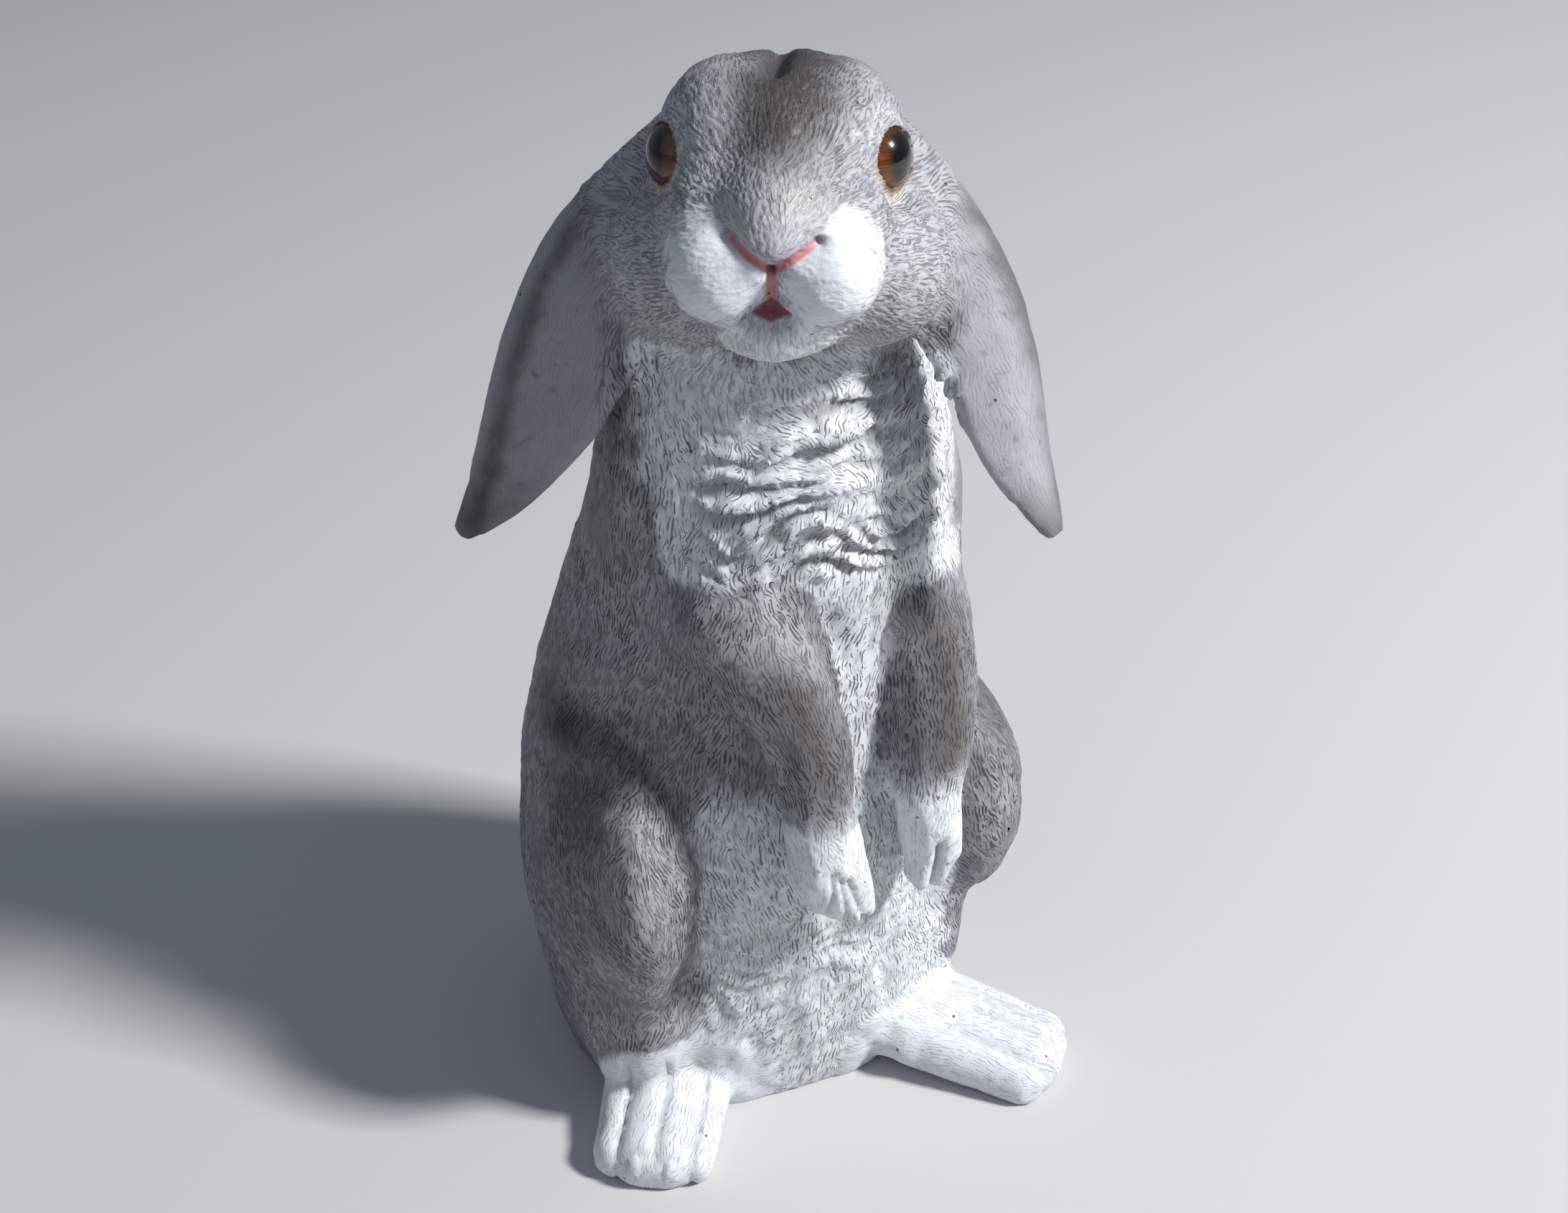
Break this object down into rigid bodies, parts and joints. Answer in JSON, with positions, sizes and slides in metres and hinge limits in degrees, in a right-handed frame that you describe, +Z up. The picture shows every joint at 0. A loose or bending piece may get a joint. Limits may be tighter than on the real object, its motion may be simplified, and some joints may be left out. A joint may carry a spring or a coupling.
{
  "type": "rabbit garden statue",
  "caption": "Lop-eared rabbit garden statue sitting up on its haunches, head turned aside, forepaws hanging over the belly, with inset glass eyes.",
  "frame": {"origin": "centre of the bounding box at the ground, on the flat underside", "axes": "+Z up; the body and hind feet face -Y; the head is turned towards the rabbit's own right, which is -X"},
  "size_m": [0.2074, 0.1996, 0.4002],
  "materials": {
    "painted_resin": "matt grey and white paint with a dark wash over chiselled fur",
    "eye_glass": "polished amber glass with a dark pupil"
  },
  "bodies": {
    "root": {"rabbit_casting": "painted_resin", "glass_eye_right": "eye_glass", "glass_eye_left": "eye_glass"}
  },
  "joints": []
}
